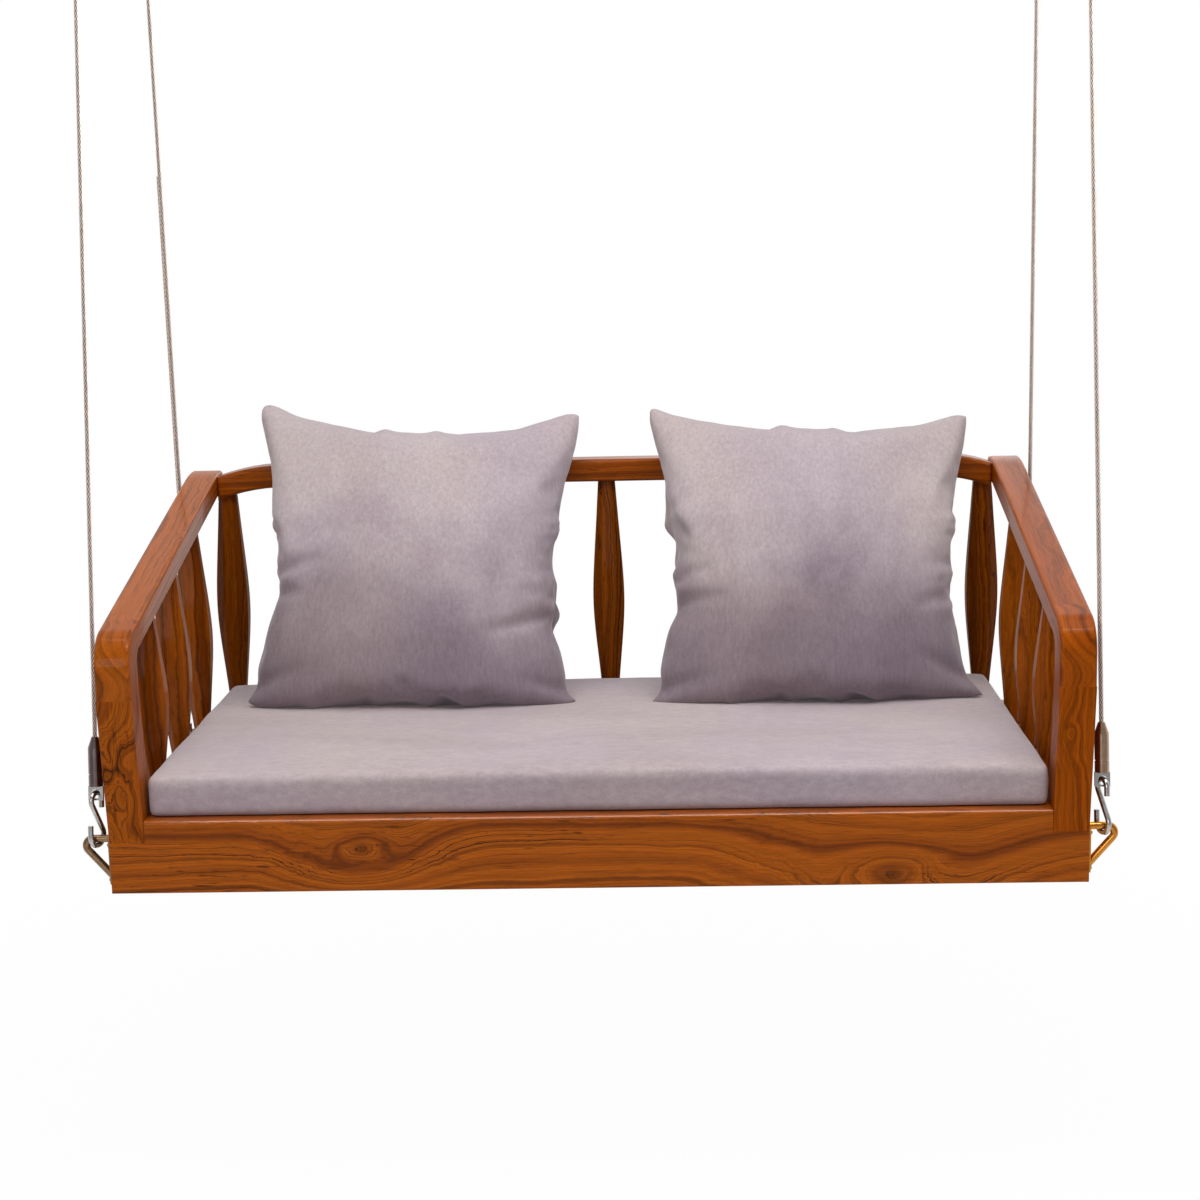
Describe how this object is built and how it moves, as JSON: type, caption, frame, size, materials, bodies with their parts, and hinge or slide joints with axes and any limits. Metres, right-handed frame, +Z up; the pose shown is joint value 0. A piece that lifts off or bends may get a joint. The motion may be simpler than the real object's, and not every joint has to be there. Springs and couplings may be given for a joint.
{
  "type": "hanging wooden swing",
  "caption": "Indoor hanging daybed swing with a teak frame, faceted spindles, a padded seat, loose pillows and wire ropes to ceiling plates.",
  "frame": {"origin": "in the ceiling plane, midway between the four ceiling plates", "axes": "+X to the right seen from the front, the front of the seat faces -Y, +Z up"},
  "size_m": [1.2982, 0.6105, 1.25],
  "materials": {
    "teak_frame": "satin lacquer",
    "teak_spindles": "satin lacquer",
    "board": "matte",
    "bearers": "matte",
    "upholstery": "short pile",
    "stainless": "polished",
    "wire_rope": "stranded",
    "ceiling_steel": "satin",
    "screw_steel": "satin",
    "brass_right": "polished",
    "brass_left": "antique"
  },
  "bodies": {
    "ceiling": {"ceiling_mount_front_left": "ceiling_steel", "ceiling_mount_front_right": "ceiling_steel", "ceiling_mount_rear_left": "ceiling_steel", "ceiling_mount_rear_right": "ceiling_steel"},
    "hanger_front_left": {"s_hook_front_left": "stainless", "eye_front_left": "stainless", "barrel_front_left": "stainless", "rope_front_left": "wire_rope", "top_terminal_front_left": "stainless"},
    "hanger_front_right": {"s_hook_front_right": "stainless", "eye_front_right": "stainless", "barrel_front_right": "stainless", "rope_front_right": "wire_rope", "top_terminal_front_right": "stainless"},
    "hanger_rear_left": {"s_hook_rear_left": "stainless", "eye_rear_left": "stainless", "barrel_rear_left": "stainless", "rope_rear_left": "wire_rope", "top_terminal_rear_left": "stainless"},
    "hanger_rear_right": {"s_hook_rear_right": "stainless", "eye_rear_right": "stainless", "barrel_rear_right": "stainless", "rope_rear_right": "wire_rope", "top_terminal_rear_right": "stainless"},
    "seat": {"arm_bend_left": "teak_frame", "arm_bend_right": "teak_frame", "arm_left": "teak_frame", "arm_right": "teak_frame", "back_rail": "teak_frame", "back_spindle_1": "teak_spindles", "back_spindle_2": "teak_spindles", "back_spindle_3": "teak_spindles", "back_spindle_4": "teak_spindles", "back_spindle_5": "teak_spindles", "back_spindle_6": "teak_spindles", "back_spindle_7": "teak_spindles", "back_spindle_8": "teak_spindles", "back_spindle_9": "teak_spindles", "bracket_front_left": "brass_left", "bracket_front_right": "brass_right", "bracket_rear_left": "brass_left", "bracket_rear_right": "brass_right", "front_rail": "teak_frame", "pillow_left": "upholstery", "pillow_right": "upholstery", "post_left": "teak_frame", "post_right": "teak_frame", "rear_rail": "teak_frame", "seat_bearers": "bearers", "seat_board": "board", "seat_cushion": "upholstery", "side_rail_left": "teak_frame", "side_rail_right": "teak_frame", "side_spindle_left_1": "teak_spindles", "side_spindle_left_2": "teak_spindles", "side_spindle_left_3": "teak_spindles", "side_spindle_right_1": "teak_spindles", "side_spindle_right_2": "teak_spindles", "side_spindle_right_3": "teak_spindles", "wood_screws": "screw_steel"}
  },
  "joints": [
    {"name": "swing_front_left", "type": "hinge", "parent": "ceiling", "child": "hanger_front_left", "pos_m": [-0.613, -0.179, -0.027], "axis": [1, 0, 0], "range_deg": [-10, 10]},
    {"name": "swing_front_right", "type": "hinge", "parent": "ceiling", "child": "hanger_front_right", "pos_m": [0.613, -0.179, -0.027], "axis": [1, 0, 0], "range_deg": [-10, 10]},
    {"name": "swing_rear_left", "type": "hinge", "parent": "ceiling", "child": "hanger_rear_left", "pos_m": [-0.613, 0.179, -0.027], "axis": [1, 0, 0], "range_deg": [-10, 10]},
    {"name": "swing_rear_right", "type": "hinge", "parent": "ceiling", "child": "hanger_rear_right", "pos_m": [0.613, 0.179, -0.027], "axis": [1, 0, 0], "range_deg": [-10, 10]},
    {"name": "seat_pivot", "type": "hinge", "parent": "hanger_front_left", "child": "seat", "pos_m": [-0.63, -0.284, -1.183], "axis": [1, 0, 0], "range_deg": [-7, 7]}
  ],
  "couplings": [
    {"joint": "swing_front_right", "follows": "swing_front_left", "ratio": 1},
    {"joint": "swing_rear_left", "follows": "swing_front_left", "ratio": 1},
    {"joint": "swing_rear_right", "follows": "swing_front_left", "ratio": 1},
    {"joint": "seat_pivot", "follows": "swing_front_left", "ratio": -0.63}
  ]
}
